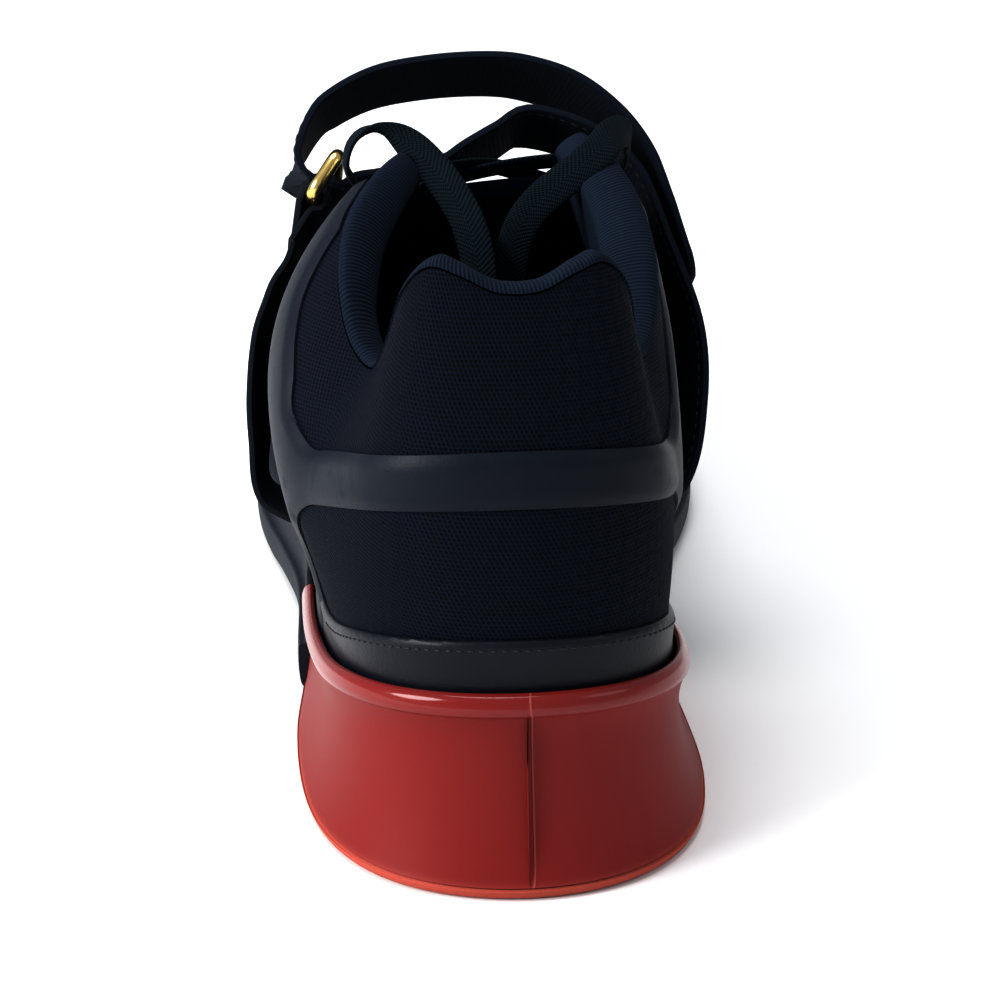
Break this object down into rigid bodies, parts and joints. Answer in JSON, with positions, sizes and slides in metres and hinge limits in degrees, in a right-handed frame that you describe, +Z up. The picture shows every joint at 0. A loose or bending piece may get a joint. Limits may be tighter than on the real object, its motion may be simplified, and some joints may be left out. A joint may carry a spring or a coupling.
{
  "type": "weightlifting shoe",
  "caption": "Left weightlifting shoe with a raised red heel block, a knit and synthetic upper, laces and an instep strap through a metal loop, standing empty on its sole.",
  "frame": {"origin": "on the floor, under the middle of the heel", "axes": "+Y towards the toe, +Z up, +X towards the medial side"},
  "size_m": [0.1122, 0.2934, 0.1339],
  "materials": {
    "coral_rubber": "matt moulded rubber",
    "red_plastic": "satin wall with a glossy lip",
    "dark_rubber": "matt moulded rubber",
    "insole_foam": "brushed cloth on foam",
    "mesh_cloth": "knitted mesh",
    "lining_knit": "padded ribbed knit",
    "frame_plastic": "matt moulded overlay",
    "smooth_synthetic": "smooth coated synthetic with a soft sheen",
    "lace_cloth": "flat woven lace",
    "strap_webbing": "woven strap",
    "gold_metal": "polished, gold-coloured"
  },
  "bodies": {
    "root": {"heel_outsole": "coral_rubber", "heel_wedge": "red_plastic", "forefoot_sole": "dark_rubber", "insole": "insole_foam", "upper": "mesh_cloth", "collar_lining": "lining_knit", "side_frame": "frame_plastic", "heel_foxing": "smooth_synthetic", "eyestay": "frame_plastic", "tongue": "lining_knit", "lace_crossings": "lace_cloth", "lace_end_lateral": "lace_cloth", "lace_end_medial": "lace_cloth", "strap": "strap_webbing", "strap_anchor": "strap_webbing", "strap_ring": "gold_metal"}
  },
  "joints": []
}
